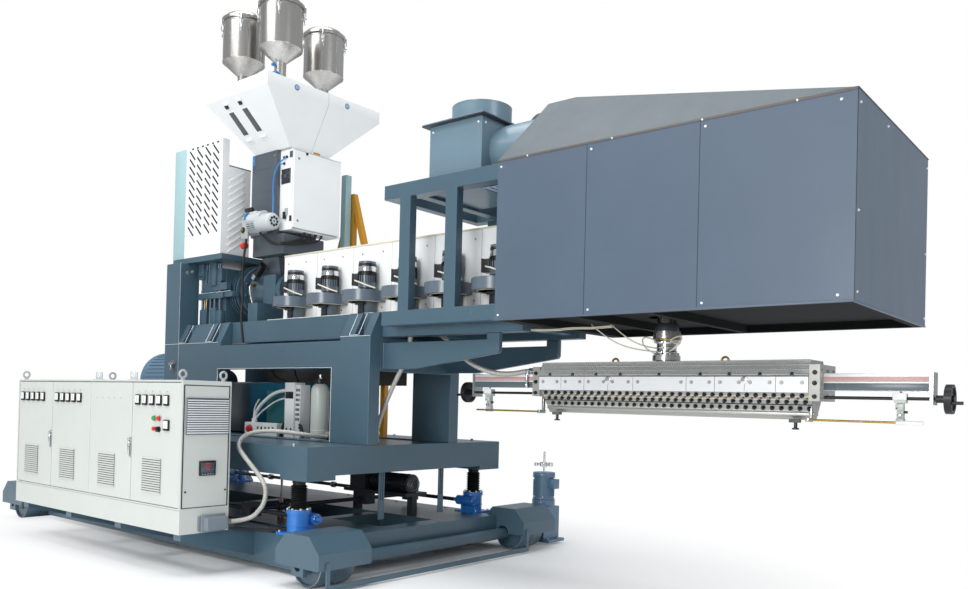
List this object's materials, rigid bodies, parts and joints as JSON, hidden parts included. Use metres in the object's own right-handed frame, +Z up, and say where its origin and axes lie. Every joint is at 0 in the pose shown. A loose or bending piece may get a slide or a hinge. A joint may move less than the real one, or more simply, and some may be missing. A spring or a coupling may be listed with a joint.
{
  "type": "extrusion laminating machine",
  "caption": "Extruder on a wheeled carriage with a screw-jack lift, belt-driven gearbox, hopper and loaders, heated barrel, hood and wide flat die with deckle screws.",
  "frame": {"origin": "on the rail plane, in the middle between the four wheels and on the barrel's centre plane", "axes": "+X along the barrel towards the hood and the die, +Y away from the cabinet side, +Z up"},
  "size_m": [8.347, 3.361, 4.8149],
  "materials": {
    "frame_paint": "slate-blue machine enamel, satin",
    "hood_paint": "grey-blue sheet enamel, satin",
    "roof_paint": "pale grey-blue sheet enamel, satin",
    "duct_paint": "light slate-blue sheet enamel, satin",
    "cabinet_paint": "light grey powder coat",
    "white_paint": "white enamel, satin",
    "dark_paint": "near-black enamel",
    "teal_paint": "teal enamel",
    "yellow_paint": "yellow enamel",
    "jack_blue": "bright blue enamel",
    "box_grey": "grey hammer finish",
    "steel": "machined steel",
    "stainless": "polished stainless sheet",
    "die_steel": "hard-chromed die steel",
    "bellows_black": "black rubber bellows",
    "mat_grey": "woven wire mesh over an insulating mat",
    "wheel_black": "black moulded handwheel",
    "hose_grey": "braided metal hose"
  },
  "bodies": {
    "carriage": {"carriage_frame": "frame_paint", "wheel_covers": "frame_paint", "cabinet_shell": "cabinet_paint", "cabinet_fittings": "box_grey", "jack_housings": "jack_blue", "lift_shafts": "steel", "lift_drive": "dark_paint", "travel_drive": "frame_paint"},
    "lift": {"accumulator": "stainless", "barrel": "steel", "barrel_cover": "white_paint", "bed_beams": "frame_paint", "belt_guard": "white_paint", "blowers": "dark_paint", "cantilever_arms": "frame_paint", "column_hose": "hose_grey", "control_box": "white_paint", "control_conduit": "hose_grey", "deckle_rails": "steel", "die_body": "die_steel", "die_heaters": "steel", "die_hose": "hose_grey", "die_mat": "mat_grey", "dosing_tower": "dark_paint", "duct_box": "duct_paint", "duct_outlet": "duct_paint", "duct_stand": "frame_paint", "far_mast": "teal_paint", "feeder_motor": "dark_paint", "gearbox": "frame_paint", "hood_floor": "dark_paint", "hood_frame": "frame_paint", "hood_left_wall": "hood_paint", "hood_panels": "hood_paint", "hood_roof": "roof_paint", "hopper": "white_paint", "hopper_lid": "white_paint", "jack_bellows": "bellows_black", "jack_screws": "steel", "lift_frame": "frame_paint", "loader_bodies": "stainless", "loader_lids": "stainless", "main_motor": "frame_paint", "melt_pipe": "steel", "service_boxes": "white_paint", "side_plates": "frame_paint", "top_plate": "frame_paint", "yellow_frame": "yellow_paint"},
    "front_wheels": {"front_wheelset": "steel"},
    "rear_wheels": {"rear_wheelset": "steel"},
    "door_1": {"cabinet_door_1": "cabinet_paint"},
    "door_2": {"cabinet_door_2": "cabinet_paint"},
    "door_3": {"cabinet_door_3": "cabinet_paint"},
    "door_4": {"cabinet_door_4": "cabinet_paint"},
    "travel_wheel": {"travel_handwheel": "steel"},
    "box_door": {"control_box_door": "white_paint"},
    "right_handwheel": {"right_deckle_handwheel": "wheel_black"},
    "left_handwheel": {"left_deckle_handwheel": "wheel_black"},
    "right_clamp": {"right_deckle_clamp": "steel"},
    "left_clamp": {"left_deckle_clamp": "steel"}
  },
  "joints": [
    {"name": "lift_travel", "type": "slide", "parent": "carriage", "child": "lift", "axis": [0, 0, 1], "range_m": [-0.05, 0.15], "deforming": ["jack_bellows", "control_conduit"]},
    {"name": "front_wheel_spin", "type": "hinge", "parent": "carriage", "child": "front_wheels", "pos_m": [2.231, 0, 0.15], "axis": [0, 1, 0], "continuous": true},
    {"name": "rear_wheel_spin", "type": "hinge", "parent": "carriage", "child": "rear_wheels", "pos_m": [-2.231, 0, 0.15], "axis": [0, 1, 0], "continuous": true},
    {"name": "door_1_hinge", "type": "hinge", "parent": "carriage", "child": "door_1", "pos_m": [-1.202, -1.723, 0.93], "axis": [0, 0, 1], "range_deg": [-110, 0]},
    {"name": "door_2_hinge", "type": "hinge", "parent": "carriage", "child": "door_2", "pos_m": [0.0755, -1.723, 0.93], "axis": [0, 0, 1], "range_deg": [0, 80]},
    {"name": "door_3_hinge", "type": "hinge", "parent": "carriage", "child": "door_3", "pos_m": [0.1045, -1.723, 0.93], "axis": [0, 0, 1], "range_deg": [-80, 0]},
    {"name": "door_4_hinge", "type": "hinge", "parent": "carriage", "child": "door_4", "pos_m": [1.382, -1.723, 0.93], "axis": [0, 0, 1], "range_deg": [0, 110]},
    {"name": "travel_wheel_spin", "type": "hinge", "parent": "carriage", "child": "travel_wheel", "pos_m": [2.231, 1.498, 0.72], "axis": [0, 0, 1], "continuous": true},
    {"name": "box_door_hinge", "type": "hinge", "parent": "lift", "child": "box_door", "pos_m": [0.612, 0.338, 3.15], "axis": [0, 0, 1], "range_deg": [0, 110]},
    {"name": "right_handwheel_turn", "type": "hinge", "parent": "lift", "child": "right_handwheel", "pos_m": [5.75, -0.052, 1.352], "axis": [1, 0, 0], "range_deg": [0, 9000]},
    {"name": "right_clamp_travel", "type": "slide", "parent": "lift", "child": "right_clamp", "axis": [-1, 0, 0], "range_m": [0, 0.25]},
    {"name": "left_handwheel_turn", "type": "hinge", "parent": "lift", "child": "left_handwheel", "pos_m": [2.66, -0.052, 1.352], "axis": [-1, 0, 0], "range_deg": [0, 9000]},
    {"name": "left_clamp_travel", "type": "slide", "parent": "lift", "child": "left_clamp", "axis": [1, 0, 0], "range_m": [0, 0.25]}
  ],
  "couplings": [
    {"joint": "right_clamp_travel", "follows": "right_handwheel_turn", "m_per_rad": 0.0015915},
    {"joint": "left_clamp_travel", "follows": "left_handwheel_turn", "m_per_rad": 0.0015915}
  ]
}
